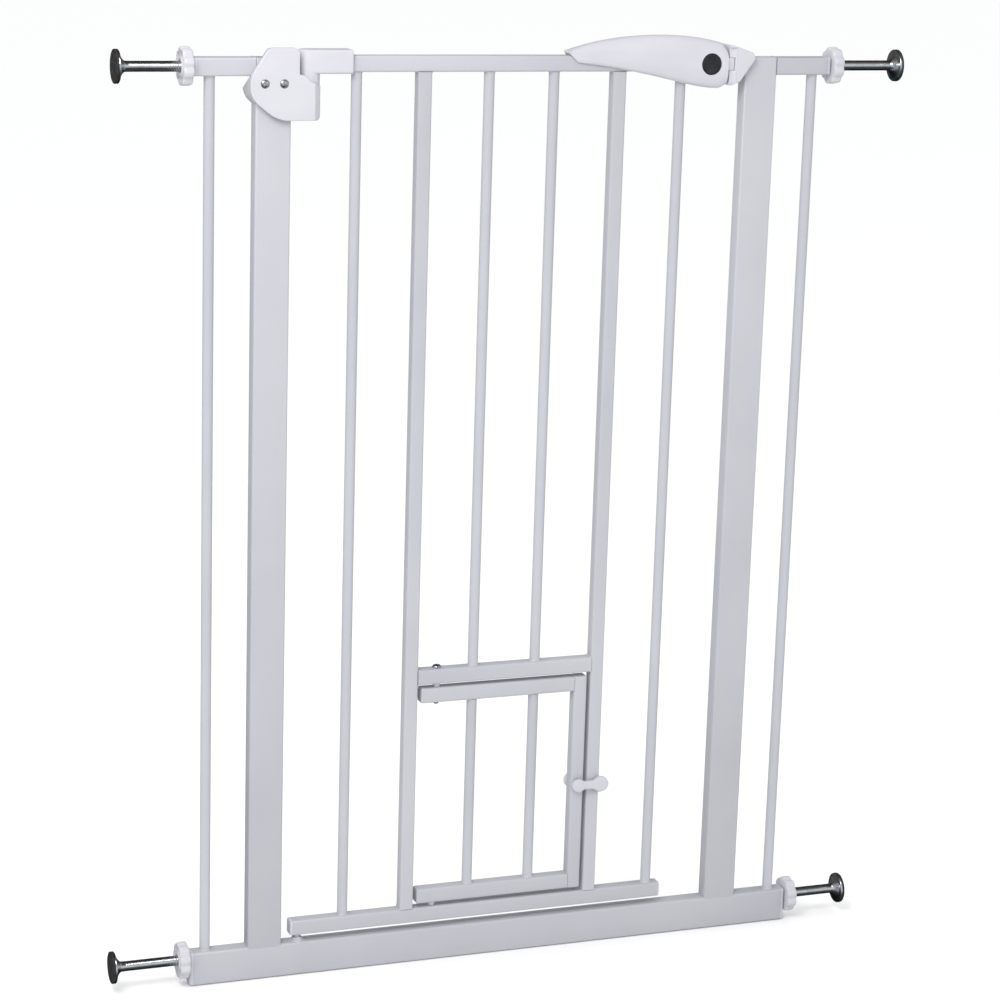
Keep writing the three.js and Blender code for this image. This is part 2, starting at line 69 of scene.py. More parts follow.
TINY = 1e-6  # radius that stands for a point on the axis of a turned piece


# ---------------------------------------------------------------- materials


def new_material(name, color, roughness, metallic=0.0):
    """A Principled material with its constant values on the shader's own sockets."""
    mat = bpy.data.materials.new(name)
    mat.use_nodes = True
    nodes = mat.node_tree.nodes
    shader = nodes["Principled BSDF"]
    shader.inputs["Base Color"].default_value = (*color, 1)
    shader.inputs["Roughness"].default_value = roughness
    shader.inputs["Metallic"].default_value = metallic
    return mat, mat.node_tree, shader


def noise_node(tree, scale, detail=2.0, stretch=(1, 1, 1)):
    """Noise in the piece's own space, so it stays on the piece when it moves."""
    coords = tree.nodes.new("ShaderNodeTexCoord")
    mapping = tree.nodes.new("ShaderNodeMapping")
    mapping.inputs["Scale"].default_value = stretch
    texture = tree.nodes.new("ShaderNodeTexNoise")
    texture.inputs["Scale"].default_value = scale
    texture.inputs["Detail"].default_value = detail
    tree.links.new(coords.outputs["Object"], mapping.inputs["Vector"])
    tree.links.new(mapping.outputs["Vector"], texture.inputs["Vector"])
    return texture.outputs["Fac"]


def ramp(tree, source, low, high, start=0.35, stop=0.65):
    node = tree.nodes.new("ShaderNodeValToRGB")
    node.color_ramp.elements[0].position = start
    node.color_ramp.elements[1].position = stop
    node.color_ramp.elements[0].color = (*low, 1)
    node.color_ramp.elements[1].color = (*high, 1)
    tree.links.new(source, node.inputs["Fac"])
    return node.outputs["Color"]


def spread(tree, source, low, high):
    node = tree.nodes.new("ShaderNodeMapRange")
    node.inputs["To Min"].default_value = low
    node.inputs["To Max"].default_value = high
    tree.links.new(source, node.inputs["Value"])
    return node.outputs["Result"]


def bump(tree, shader, source, strength, distance, below=None):
    node = tree.nodes.new("ShaderNodeBump")
    node.inputs["Strength"].default_value = strength
    node.inputs["Distance"].default_value = distance
    tree.links.new(source, node.inputs["Height"])
    if below is not None:
        tree.links.new(below, node.inputs["Normal"])
    tree.links.new(node.outputs["Normal"], shader.inputs["Normal"])
    return node.outputs["Normal"]


def powder_coat():
    """White powder coat: slight clouding, orange peel and a satin sheen."""
    mat, tree, shader = new_material("powder_coat", (0.445, 0.452, 0.487), 0.38)
    clouds = ramp(tree, noise_node(tree, 7, 3), (0.432, 0.438, 0.474), (0.458, 0.465, 0.50))
    tree.links.new(clouds, shader.inputs["Base Color"])
    tree.links.new(spread(tree, noise_node(tree, 60, 3), 0.30, 0.46), shader.inputs["Roughness"])
    peel = bump(tree, shader, noise_node(tree, 520, 1), 0.22, 0.0003)
    bump(tree, shader, noise_node(tree, 2600, 2), 0.10, 0.0001, peel)
    shader.inputs["Coat Weight"].default_value = 0.15
    shader.inputs["Coat Roughness"].default_value = 0.25
    return mat


def moulded_white():
    """White moulded plastic with a fine spark-eroded grain and faint flow marks."""
    mat, tree, shader = new_material("moulded_white", (0.54, 0.535, 0.58), 0.34)
    flow = ramp(tree, noise_node(tree, 14, 4, (1, 1, 2.5)), (0.525, 0.52, 0.565), (0.557, 0.552, 0.595))
    tree.links.new(flow, shader.inputs["Base Color"])
    tree.links.new(spread(tree, noise_node(tree, 240, 3), 0.27, 0.42), shader.inputs["Roughness"])
    grain = bump(tree, shader, noise_node(tree, 1900, 3), 0.16, 0.00012)
    bump(tree, shader, noise_node(tree, 45, 1), 0.05, 0.0004, grain)
    shader.inputs["Subsurface Weight"].default_value = 0.06
    shader.inputs["Subsurface Radius"].default_value = (0.004, 0.004, 0.003)
    return mat


def moulded_black():
    """Black moulded button with a matt grain."""
    mat, tree, shader = new_material("moulded_black", (0.012, 0.012, 0.013), 0.5)
    shades = ramp(tree, noise_node(tree, 90, 3), (0.009, 0.009, 0.010), (0.017, 0.017, 0.019))
    tree.links.new(shades, shader.inputs["Base Color"])
    tree.links.new(spread(tree, noise_node(tree, 600, 3), 0.42, 0.6), shader.inputs["Roughness"])
    bump(tree, shader, noise_node(tree, 2400, 3), 0.25, 0.00012)
    return mat


def bright_metal(name, color, low, high):
    """Bright plated steel: drawing lines, uneven gloss and a few dull spots."""
    mat, tree, shader = new_material(name, color, low, 1.0)
    darker = tuple(0.78 * c for c in color)
    spots = ramp(tree, noise_node(tree, 120, 4), darker, color, 0.3, 0.55)
    tree.links.new(spots, shader.inputs["Base Color"])
    gloss = spread(tree, noise_node(tree, 300, 4, (0.3, 1, 1)), low, high)
    tree.links.new(gloss, shader.inputs["Roughness"])
    bump(tree, shader, noise_node(tree, 900, 3, (0.15, 1, 1)), 0.06, 0.0001)
    return mat


def pad_rubber():
    """Dark rubber with a dusty, pitted face."""
    mat, tree, shader = new_material("pad_rubber", (0.022, 0.022, 0.024), 0.75)
    dust = ramp(tree, noise_node(tree, 160, 4), (0.014, 0.014, 0.015), (0.032, 0.032, 0.034))
    tree.links.new(dust, shader.inputs["Base Color"])
    tree.links.new(spread(tree, noise_node(tree, 500, 2), 0.62, 0.85), shader.inputs["Roughness"])
    bump(tree, shader, noise_node(tree, 1500, 3), 0.3, 0.0002)
    return mat


FINISH = {
    "powder_white": powder_coat(),
    "plastic_white": moulded_white(),
    "plastic_black": moulded_black(),
    "chrome": bright_metal("bright_zinc", (0.66, 0.68, 0.70), 0.12, 0.24),
    "steel": bright_metal("zinc_steel", (0.62, 0.62, 0.63), 0.20, 0.36),
    "rubber": pad_rubber(),
}
SLOT_OF = {row["node"]: row["material_slot"] for row in frame["record"]["subparts"]}
BODY_OF = {
    node: body
    for body, members in frame["record"]["behaviour"]["bodies"].items()
    for node in members
}


# ---------------------------------------------------------------- mesh tools


def mesh_object(name, verts, faces):
    mesh = bpy.data.meshes.new(name)
    mesh.from_pydata([tuple(v) for v in verts], [], faces)
    mesh.validate()
    obj = bpy.data.objects.new(name, mesh)
    bpy.context.scene.collection.objects.link(obj)
    return obj


def outward(obj):
    """Makes the faces of a closed mesh point out."""
    bm = bmesh.new()
    bm.from_mesh(obj.data)
    bmesh.ops.remove_doubles(bm, verts=bm.verts, dist=1e-7)
    bmesh.ops.recalc_face_normals(bm, faces=bm.faces)
    bm.to_mesh(obj.data)
    bm.free()
    return obj


def baked(obj):
    """Applies the object's modifiers."""
    graph = bpy.context.evaluated_depsgraph_get()
    mesh = bpy.data.meshes.new_from_object(obj.evaluated_get(graph))
    old = obj.data
    obj.modifiers.clear()
    obj.data = mesh
    bpy.data.meshes.remove(old)
    return obj


def carve(obj, *cutters):
    for cutter in cutters:
        tool = obj.modifiers.new("carve", "BOOLEAN")
        tool.operation = "DIFFERENCE"
        tool.solver = "EXACT"
        tool.object = cutter
        baked(obj)
        bpy.data.objects.remove(cutter)
    return obj


def fuse(obj, *others):
    for other in others:
        tool = obj.modifiers.new("fuse", "BOOLEAN")
        tool.operation = "UNION"
        tool.solver = "EXACT"
        tool.object = other
        baked(obj)
        bpy.data.objects.remove(other)
    return obj


def soften(obj, width, segments=3, angle=35):
    tool = obj.modifiers.new("soften", "BEVEL")
    tool.width = width
    tool.segments = segments
    tool.limit_method = "ANGLE"
    tool.angle_limit = math.radians(angle)
    tool.harden_normals = False
    return baked(obj)


def stand_for(obj, *nodes, sharp=38):
    """Finishes a piece: smooth shading, the nodes' finish and body, and the nodes that it replaces."""
    obj.data.shade_smooth()
    obj.data.set_sharp_from_angle(angle=math.radians(sharp))
    slot = SLOT_OF[nodes[0]]
    obj.data.materials.clear()
    obj.data.materials.append(FINISH[slot])
    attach(obj, BODY_OF[nodes[0]])
    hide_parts(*nodes)
    return obj


def cuboid(low, high):
    (a, b, c), (d, e, f) = low, high
    verts = [(x, y, z) for x in (a, d) for y in (b, e) for z in (c, f)]
    faces = [(0, 1, 3, 2), (4, 6, 7, 5), (0, 4, 5, 1), (2, 3, 7, 6), (0, 2, 6, 4), (1, 5, 7, 3)]
    return outward(mesh_object("tool", verts, faces))


def room_for(low, high, gap, x=None, z=None):
    """A cutter that leaves a gap round what lies between low and high; x or z may set its own reach."""
    x0, x1 = x or (low.x - gap, high.x + gap)
    z0, z1 = z or (low.z - gap, high.z + gap)
    return cuboid((x0, low.y - gap, z0), (x1, high.y + gap, z1))


def along(axis, t, u, v):
    """The point at t along an axis, with u and v across it."""
    return {"x": (t, u, v), "y": (u, t, v), "z": (u, v, t)}[axis]


def loft(name, rings, closed=False):
    """Skins rings of equally many points. A closed loft joins its last ring to its first."""
    count = len(rings[0])
    verts = [p for ring in rings for p in ring]
    faces = []
    last = len(rings) if closed else len(rings) - 1
    for i in range(last):
        a, b = i * count, ((i + 1) % len(rings)) * count
        faces += [(a + j, a + (j + 1) % count, b + (j + 1) % count, b + j) for j in range(count)]
    if not closed:
        faces.append(tuple(reversed(range(count))))
        faces.append(tuple(range((len(rings) - 1) * count, len(rings) * count)))
    return outward(mesh_object(name, verts, faces))


def section(width, height, radius, steps=6):
    """A rectangle with round corners, centred on zero."""
    w, h = width / 2 - radius, height / 2 - radius
    points = []
    for quarter, (sx, sy) in enumerate([(1, 1), (-1, 1), (-1, -1), (1, -1)]):
        for i in range(steps + 1):
            a = (quarter + i / steps) * math.pi / 2
            points.append((sx * w + radius * math.cos(a), sy * h + radius * math.sin(a)))
    return points


def lathe(name, axis, centre, profile, steps=48):
    """Turns (radius, place) points about an axis through centre; without a name it gives the rings."""
    u0, v0 = centre
    rings = []
    for radius, t in profile:
        r = max(radius, TINY)
        turns = [2 * math.pi * i / steps for i in range(steps)]
        rings.append([along(axis, t, u0 + r * math.cos(a), v0 + r * math.sin(a)) for a in turns])
    return rings if name is None else loft(name, rings)


def turned_ring(name, axis, centre, profile, steps=48):
    """A turned piece whose profile closes on itself."""
    return loft(name, lathe(None, axis, centre, profile, steps), closed=True)


def plate(name, points, y_front, y_back, edge, segments=4):
    """An XZ outline made into a plate with rounded front and back edges."""
    n = len(points)
    verts = [(x, y_front, z) for x, z in points] + [(x, y_back, z) for x, z in points]
    faces = [tuple(range(n)), tuple(reversed(range(n, 2 * n)))]
    faces += [(i, i + n, (i + 1) % n + n, (i + 1) % n) for i in range(n)]
    obj = outward(mesh_object(name, verts, faces))
    return soften(obj, edge, segments, 50) if edge else obj


def filleted(corners, steps=7):
    """An outline from (x, z, fillet radius) corners."""
    points = []
    n = len(corners)
    for i, (x, z, radius) in enumerate(corners):
        here = Vector((x, z))
        before = (Vector(corners[i - 1][:2]) - here).normalized()
        after = (Vector(corners[(i + 1) % n][:2]) - here).normalized()
        half = before.angle(after) / 2
        reach = radius / math.tan(half)
        middle = here + (before + after).normalized() * radius / math.sin(half)
        start, end = here + before * reach, here + after * reach
        a, b = start - middle, end - middle
        for k in range(steps + 1):
            t = k / steps
            total = a.angle(b)
            p = (a * math.sin((1 - t) * total) + b * math.sin(t * total)) / math.sin(total)
            points.append(tuple(middle + p))
    return points


def bezier(p0, p1, p2, p3, steps):
    """Points on a cubic curve, without its last one."""
    out = []
    for i in range(steps):
        t = i / steps
        w = ((1 - t) ** 3, 3 * t * (1 - t) ** 2, 3 * t * t * (1 - t), t ** 3)
        out.append(tuple(sum(k * p[j] for k, p in zip(w, (p0, p1, p2, p3))) for j in (0, 1)))
    return out


# ---------------------------------------------------------------- tubes and bars


def tube(node, axis, bead_start=False, bead_end=False, sink=0.0):
    """A rectangular tube with round corners, eased rims and, where it is welded, a small bead.

    A tube that sinks fills the round edge of the rail below it, like a weld ground flush."""
    low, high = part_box(node)
    order = {"x": (0, 1, 2), "z": (2, 0, 1)}[axis]
    t0, t1 = low[order[0]] - sink, high[order[0]]
    width, height = (high[k] - low[k] for k in order[1:])
    u0, v0 = ((high[k] + low[k]) / 2 for k in order[1:])

    def ring(t, grow, radius):
        points = section(width + 2 * grow, height + 2 * grow, radius)
        return [along(axis, t, u0 + u, v0 + v) for u, v in points]

    def rim(t, sign, bead):
        if bead:
            steps = [(0, 0.55), (0.5, 0.5), (1.1, 0.25), (1.7, 0)]
        else:
            steps = [(0, -0.35), (0.12, -0.12), (0.35, 0)]
        return [ring(t + sign * d * MM, g * MM, CORNER + g * MM / 2) for d, g in steps]

    rings = rim(t0, 1, bead_start) + rim(t1, -1, bead_end)[::-1]
    inner_corner = CORNER - 0.8 * WALL
    inner = [ring(t1, -WALL, inner_corner), ring(t0, -WALL, inner_corner)]
    return stand_for(loft(node + "_tube", rings + inner, closed=True), node)


def solid_tube(node, axis, ease_start=1.6, ease_end=1.6):
    """A tube whose ends don't show open: round corners and ends eased by so many millimetres."""
    low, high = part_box(node)
    order = {"x": (0, 1, 2), "z": (2, 0, 1)}[axis]
    t0, t1 = low[order[0]], high[order[0]]
    width, height = (high[k] - low[k] for k in order[1:])
    u0, v0 = ((high[k] + low[k]) / 2 for k in order[1:])
    rings = []
    for t, sign, ease in ((t0, 1, ease_start * MM), (t1, -1, ease_end * MM)):
        end = []
        for k in range(5):
            a = k / 4 * math.pi / 2
            shrink = ease * (1 - math.sin(a))
            points = section(width - 2 * shrink, height - 2 * shrink, CORNER - 0.3 * shrink)
            place = t + sign * ease * (1 - math.cos(a))
            end.append([along(axis, place, u0 + u, v0 + v) for u, v in points])
        rings += end if sign > 0 else end[::-1]
    return stand_for(loft(node + "_tube", rings), node)


def bar(node):
    """A round bar with a weld bead at both ends."""
    low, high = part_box(node)
    radius = (high.x - low.x) / 2
    centre = ((low.x + high.x) / 2, (low.y + high.y) / 2)
    bead = [(0, 1.1), (0.4, 1.0), (0.9, 0.55), (1.5, 0.15), (2.0, 0)]
    start = [(radius + g * MM, low.z + d * MM) for d, g in bead]
    end = [(radius + g * MM, high.z - d * MM) for d, g in bead][::-1]
    return stand_for(lathe(node + "_tube", "z", centre, start + end), node)


def frame_tubes():
    tube("base_rail", "x")
    tube("left_upright", "z", sink=CORNER)
    tube("right_upright", "z", sink=CORNER)
    tube("left_top_stub", "x", bead_end=True)
    tube("right_top_stub", "x", bead_start=True)
    bar("left_side_bar")
    bar("right_side_bar")


def leaf_tubes():
    tube("gate_top_rail", "x")
    tube("gate_bottom_rail", "x")
    tube("gate_cross_rail", "x", bead_start=True, bead_end=True)
    tube("gate_left_stile", "z", bead_start=True, bead_end=True)
    tube("gate_right_stile", "z", bead_start=True, bead_end=True)
    for i in range(1, 5):
        bar(f"gate_bar_{i}")


def door_tubes():
    solid_tube("door_top_rail", "x", ease_end=0.2)
    solid_tube("door_bottom_rail", "x", ease_end=0.2)
    solid_tube("door_stile", "z")
    bar("door_bar_left")
    bar("door_bar_right")


# ---------------------------------------------------------------- end plugs and caps


def end_cover(node, axis_sign, head):
    """The head of a plug or cap: a rounded slab over the tube's end."""
    low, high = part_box(node)
    outer = high.x if axis_sign > 0 else low.x
    inner = outer - axis_sign * head
    width, height = high.y - low.y, high.z - low.z
    y0, z0 = (high.y + low.y) / 2, (high.z + low.z) / 2
    rings = []
    for grow, t in ((0, 0.0), (0.0, 0.45), (-0.35, 0.75), (-1.1, 0.95), (-2.0, 1.0)):
        corner = max(CORNER + grow * MM * 0.5, 0.6 * MM)
        points = section(width + 2 * grow * MM, height + 2 * grow * MM, corner)
        rings.append([(inner + t * (outer - inner), y0 + u, z0 + v) for u, v in points])
    return loft(node + "_cover", rings)


def end_plugs():
    head = 4 * MM
    cap_head = 2.5 * MM
    hole_radius = 6.4 * MM
    reach = 8 * MM  # of the hole's cutter, both ways from the plug's face
    for side, sign in (("left", -1), ("right", 1)):
        for place, level in (("base", "lower"), ("stub", "upper")):
            node = f"{side}_{place}_plug"
            low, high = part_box(f"{level}_{side}_spindle")
            centre = ((low.y + high.y) / 2, (low.z + high.z) / 2)
            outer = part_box(node)[1].x if sign > 0 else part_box(node)[0].x
            hole = lathe("tool", "x", centre, [(hole_radius, outer - reach), (hole_radius, outer + reach)])
            stand_for(carve(end_cover(node, sign, head), hole), node)
    for side, sign in (("left", -1), ("right", 1)):
        node = f"gate_bottom_cap_{side}"
        stand_for(end_cover(node, sign, cap_head), node)
    low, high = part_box("right_upright_plug")
    spare = 1.2 * MM  # by which the cover is wider than the plug, and the radius of its corners
    points = section(high.x - low.x + spare, high.y - low.y + spare, spare)
    x0, y0 = (low.x + high.x) / 2, (low.y + high.y) / 2
    rings = []
    for size, below in ((1, 6), (1, 0.6), (0.97, 0.1), (0.9, 0)):
        rings.append([(x0 + u * size, y0 + v * size, high.z - below * MM) for u, v in points])
    stand_for(loft("right_upright_cover", rings), "right_upright_plug")


# ---------------------------------------------------------------- wall spindles


def hand_wheel(node, sign):
    """A scalloped nut wheel: rounded lobes, a dished face and a raised boss; radii in millimetres."""
    low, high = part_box(node)
    axle_low, axle_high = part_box(node.replace("handwheel", "spindle"))
    centre = ((axle_low.y + axle_high.y) / 2, (axle_low.z + axle_high.z) / 2)
    inner, outer = (low.x, high.x) if sign > 0 else (high.x, low.x)
    lobes, steps, radius, bore = 9, 180, 21.4, 6.35
    round_radius = 14  # the lobes begin outside this radius
    scallop = 2.3  # depth of the hollows between the lobes

    def ring(r, t):
        x = inner + t * (outer - inner)
        points = []
        for i in range(steps):
            a = 2 * math.pi * i / steps
            depth = scallop * max(0.0, (r - round_radius) / (radius - round_radius))
            rr = (r - depth * (0.5 - 0.5 * math.cos(lobes * a)) ** 1.6) * MM
            points.append((x, centre[0] + rr * math.cos(a), centre[1] + rr * math.sin(a)))
        return points

    profile = [
        (bore, 0.0), (15, 0.0), (19.4, 0.0), (20.6, 0.05), (21.2, 0.14), (radius, 0.26), (radius, 0.74),
        (21.2, 0.86), (20.6, 0.95), (19.4, 0.99), (18, 0.97), (17, 0.86), (16, 0.82), (11.5, 0.82),
        (10.8, 0.86), (10.3, 0.97), (9.6, 1.0), (7.4, 1.0), (6.7, 0.97), (bore, 0.93),
    ]
    wheel = loft(node + "_moulding", [ring(r, t) for r, t in profile], closed=True)
    return stand_for(wheel, node, sharp=50)


def spindle(node, sign):
    """A threaded spindle that flares into its wall disc."""
    low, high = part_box(node)
    centre = ((low.y + high.y) / 2, (low.z + high.z) / 2)
    inner, outer = (low.x, high.x) if sign > 0 else (high.x, low.x)
    length = abs(outer - inner)
    steps, pitch, depth = 36, 1.75 * MM, 0.32 * MM
    core = 6 * MM  # outer radius of the thread
    slices = 5  # rings to each turn of the thread
    disc = length - 2.5 * MM
    flare_start = disc - 7 * MM
    spread_out = 9.5 * MM  # how much the flare widens
    rings = []

    def ring(radius, t, threaded):
        points = []
        for i in range(steps):
            a = 2 * math.pi * i / steps
            phase = (t / pitch - i / steps) % 1.0
            groove = depth * (1 - abs(2 * phase - 1)) if threaded else 0
            r = radius - groove
            points.append((inner + sign * t, centre[0] + r * math.cos(a), centre[1] + r * math.sin(a)))
        return points

    thread_end = flare_start - 3 * MM
    rings.append(ring(TINY, 0, False))
    rings.append(ring(core - MM, 0, False))
    count = int(thread_end / (pitch / slices))
    for k in range(1, count):
        rings.append(ring(core, k * pitch / slices, True))
    rings.append(ring(core - 0.05 * MM, thread_end + 0.5 * MM, False))
    for k in range(13):
        s = k / 12
        rings.append(ring(core + spread_out * s ** 1.8, flare_start + s * (disc - flare_start), False))
    rim = ((16.4, 0.1), (17.4, 0.3), (18.1, 0.7), (18.5, 1.3), (18.5, 1.9), (18.2, 2.5), (1e-3, 2.5))
    for radius, t in rim:
        rings.append(ring(radius * MM, disc + t * MM, False))
    return stand_for(loft(node + "_turning", rings), node, sharp=60)


def wall_pad(node, sign):
    """A rubber pad with a rounded rim and rings moulded in its face."""
    low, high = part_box(node)
    centre = ((low.y + high.y) / 2, (low.z + high.z) / 2)
    inner, outer = (low.x, high.x) if sign > 0 else (high.x, low.x)
    profile = [(0, 0), (17.6, 0), (18.3, 0.12), (18.5, 0.3), (18.5, 0.7), (18.2, 0.88), (17.4, 1.0)]
    for groove in (14.5, 10.5, 6.5):
        profile += [(groove + 0.9, 1.0), (groove + 0.5, 0.86), (groove - 0.5, 0.86), (groove - 0.9, 1.0)]
    profile.append((0, 1.0))
    turned = [(r * MM, inner + t * (outer - inner)) for r, t in profile]
    return stand_for(lathe(node + "_moulding", "x", centre, turned, 64), node, sharp=50)


def wall_fixings():
    for side, sign in (("left", -1), ("right", 1)):
        for level in ("lower", "upper"):
            hand_wheel(f"{level}_{side}_handwheel", sign)
            spindle(f"{level}_{side}_spindle", sign)
            wall_pad(f"{level}_{side}_wall_pad", sign)


# ---------------------------------------------------------------- main hinge


def half_of(obj, side):
    """Cuts a casing down to its front (-1) or rear (+1) half."""
    low, high = (-SEAM, 1.0) if side < 0 else (-1.0, SEAM)
    return carve(obj, cuboid((-1, low, -1), (1, high, 2)))


def leaning_cut(start, end, lean, depth):
    """A block that trims a casing along an edge of its outline, more and more towards the rear."""
    edge = Vector((end[0] - start[0], 0, end[1] - start[1])).normalized()
    outwards = edge.cross(Vector((0, 1, 0)))
    backwards = (Vector((0, 2 * depth, 0)) - outwards * lean).normalized()
    block = cuboid((-60 * MM, 0, 0), (60 * MM, 60 * MM, 40 * MM))
    turn = Matrix((edge, backwards, edge.cross(backwards))).transposed().to_4x4()
    block.data.transform(Matrix.Translation((start[0], 3 * MM - depth, start[1])) @ turn)
    return block


def hinge_housing():
    sleeve_low, sleeve_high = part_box("hinge_sleeve")
    axis_x = sleeve_low.x + BARREL
    post_low, post_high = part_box("left_upright")
    shell_low, shell_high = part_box("hinge_housing_front")
    left, right, top, bottom = shell_low.x, shell_high.x, shell_high.z, shell_low.z
    corners = [
        (left + 20.0 * MM, top, 11 * MM), (axis_x - 14.3 * MM, top, 7 * MM),
        (axis_x - 14.3 * MM, top - 28.4 * MM, 1.2 * MM), (axis_x - 8 * MM, top - 30.2 * MM, 3 * MM),
        (axis_x - 1 * MM, top - 36.9 * MM, 4 * MM), (right, top - 41 * MM, 2 * MM),
        (right, bottom, 5 * MM), (left + 31 * MM, bottom, 38 * MM), (left, top - 54 * MM, 24 * MM),
        (left, top - 32 * MM, 28 * MM),
    ]
    depth = -shell_low.y
    gap = 0.3 * MM
    lean = 10 * MM  # by which the rear's top and left edges lie inside the front's
    slope = 9 * MM  # depth of the bevel along the right edge
    for side, node in ((-1, "hinge_housing_front"), (1, "hinge_housing_rear")):
        shell = plate(node + "_moulding", filleted(corners), -depth, depth, 2.0 * MM, 5)
        bevel = [
            (right - 8 * MM, depth), (right + 1 * MM, depth - slope), (right + 20 * MM, depth - slope),
            (right + 20 * MM, depth + 20 * MM), (right - 8 * MM, depth + 20 * MM),
        ]
        ring = [[(x, side * y, z) for x, y in bevel] for z in (bottom - FAR, top + FAR)]
        above = top + 0.5 * MM
        carve(
            shell,
            loft("tool", ring),
            leaning_cut((left + 23 * MM, above), (left + 50 * MM, above), lean, depth),
            leaning_cut((left, top - 30 * MM), (left + 19 * MM, top), lean, depth),
        )
        soften(shell, 0.8 * MM, 3, 20)
        half_of(shell, side)
        bore_radius = BARREL + 0.5 * MM
        bore_ends = (sleeve_low.z + 18.5 * MM, top + FAR / 2)
        bore = lathe("tool", "z", (axis_x, 0), [(bore_radius, z) for z in bore_ends], 64)
        post = room_for(post_low, post_high, gap, z=(0, post_high.z + gap))
        stub_low, stub_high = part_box("left_top_stub")
        stub = room_for(stub_low, stub_high, gap, x=(stub_low.x, stub_high.x))
        carve(shell, bore, post, stub)
        if side < 0:
            for k in (1, 2):
                low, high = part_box(f"hinge_screw_{k}")
                at = ((low.x + high.x) / 2, (low.z + high.z) / 2)
                carve(shell, lathe("tool", "y", at, [(5 * MM, -FAR), (5 * MM, -depth + 1.9 * MM)], 40))
        stand_for(shell, node, sharp=32)


def screws():
    """Round-headed screws with a cross slot."""
    head = 4.6 * MM
    for k in (1, 2):
        node = f"hinge_screw_{k}"
        low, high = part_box(node)
        at = ((low.x + high.x) / 2, (low.z + high.z) / 2)
        face = low.y
        turns = [i / 10 * math.pi / 2 for i in range(11)]
        dome = [(head * math.sin(a), face + 2.0 * MM * (1 - math.cos(a))) for a in turns]
        shank = [(head, face + 2.2 * MM), (2 * MM, face + 2.3 * MM), (2 * MM, high.y), (TINY, high.y)]
        screw = lathe(node + "_turning", "y", at, dome + shank, 40)
        for turn in (0.35, 0.35 + math.pi / 2):
            slot = cuboid((-2.9 * MM, -1.5 * MM, -0.55 * MM), (2.9 * MM, 1.3 * MM, 0.55 * MM))
            place = Matrix.Translation((at[0], face, at[1]))
            slot.data.transform(place @ Matrix.Rotation(turn + 0.3 * k, 4, "Y"))
            carve(screw, slot)
        stand_for(screw, node, sharp=40)


def hinge_sleeve():
    node = "hinge_sleeve"
    low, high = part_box(node)
    axis_x = low.x + BARREL
    height = high.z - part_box("gate_top_rail")[0].z + 1.7 * MM
    middle = high.z - height / 2
    rings = []
    for back, shrink in ((1.8, 0), (1.0, 0.12), (0.45, 0.4), (0.12, 0.85), (0, 1.5)):
        points = section(2 * (BARREL - shrink * MM), height - 2 * shrink * MM, 3.2 * MM, 8)
        rings.append([(high.x - back * MM, u, middle + v) for u, v in points])
    rings.insert(0, [(axis_x, y, z) for _, y, z in rings[0]])
    sleeve = loft(node + "_moulding", rings)
    shoulder = low.z + 19 * MM
    profile = [
        (TINY, low.z), (4 * MM, low.z), (5 * MM, low.z + MM), (5 * MM, shoulder),
        (BARREL - 0.6 * MM, shoulder), (BARREL, shoulder + 0.6 * MM), (BARREL, high.z - 3 * MM),
        (BARREL - 0.3 * MM, high.z - 1.5 * MM), (BARREL - 1.5 * MM, high.z - 0.4 * MM),
        (BARREL - 3 * MM, high.z), (TINY, high.z),
    ]
    fuse(sleeve, lathe("tool", "z", (axis_x, 0), profile, 64))
    rail_low, rail_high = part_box("gate_top_rail")
    gap = 0.25 * MM
    carve(sleeve, room_for(rail_low, rail_high, gap, x=(rail_low.x - gap, high.x + FAR)))
    stand_for(sleeve, node, sharp=32)


def small_turnings():
    """Pins, bushes and the headed bolt, turned again with eased edges."""
    for node, ease in (("lower_hinge_pin", 0.6), ("door_hinge_pin", 0.5)):
        low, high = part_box(node)
        centre = ((low.x + high.x) / 2, (low.y + high.y) / 2)
        r, e = (high.x - low.x) / 2, ease * MM
        side = [(r - e, low.z), (r, low.z + e), (r, high.z - e), (r - e, high.z)]
        profile = [(TINY, low.z), *side, (TINY, high.z)]
        stand_for(lathe(node + "_turning", "z", centre, profile), node)
    for node, bore in (("lower_hinge_bush", 4.3), ("door_bush_upper", 3.3), ("door_bush_lower", 3.3)):
        low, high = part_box(node)
        centre = ((low.x + high.x) / 2, (low.y + high.y) / 2)
        r, b, e = (high.y - low.y) / 2, bore * MM, 0.25 * MM
        profile = [
            (b, low.z), (r - e, low.z), (r, low.z + e), (r, high.z - e), (r - e, high.z),
            (b + e, high.z), (b, high.z - e),
        ]
        if node == "lower_hinge_bush":
            floor_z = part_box("base_rail")[1].z
            neck, collar, e = 6.5 * MM, 5.8 * MM, 0.4 * MM
            flange_z = floor_z + MM
            profile = [
                (b, low.z), (neck - e, low.z), (neck, low.z + e), (neck, floor_z), (r, floor_z),
                (r, floor_z + e), (r - e, flange_z), (collar + e, flange_z + 0.1 * e), (collar, flange_z + e),
                (collar, high.z - e), (collar - e, high.z), (b + e, high.z), (b, high.z - e),
            ]
        stand_for(turned_ring(node + "_turning", "z", centre, profile), node)
    node = "door_hinge_bolt"
    low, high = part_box(node)
    centre = ((low.x + high.x) / 2, (low.y + high.y) / 2)
    head_height = 3.8
    head = high.z - head_height * MM
    profile = [(TINY, low.z), (2.4 * MM, low.z), (3 * MM, low.z + 0.6 * MM), (3 * MM, head)]
    dome = ((5, 0), (5.2, 0.3), (5.2, 1.6), (4.8, 2.4), (3.8, 3.3), (2.2, 3.7), (0, head_height))
    profile += [(r * MM, head + rise * MM) for r, rise in dome]
    stand_for(lathe(node + "_turning", "z", centre, profile), node)


# ---------------------------------------------------------------- handle, buttons and keeper


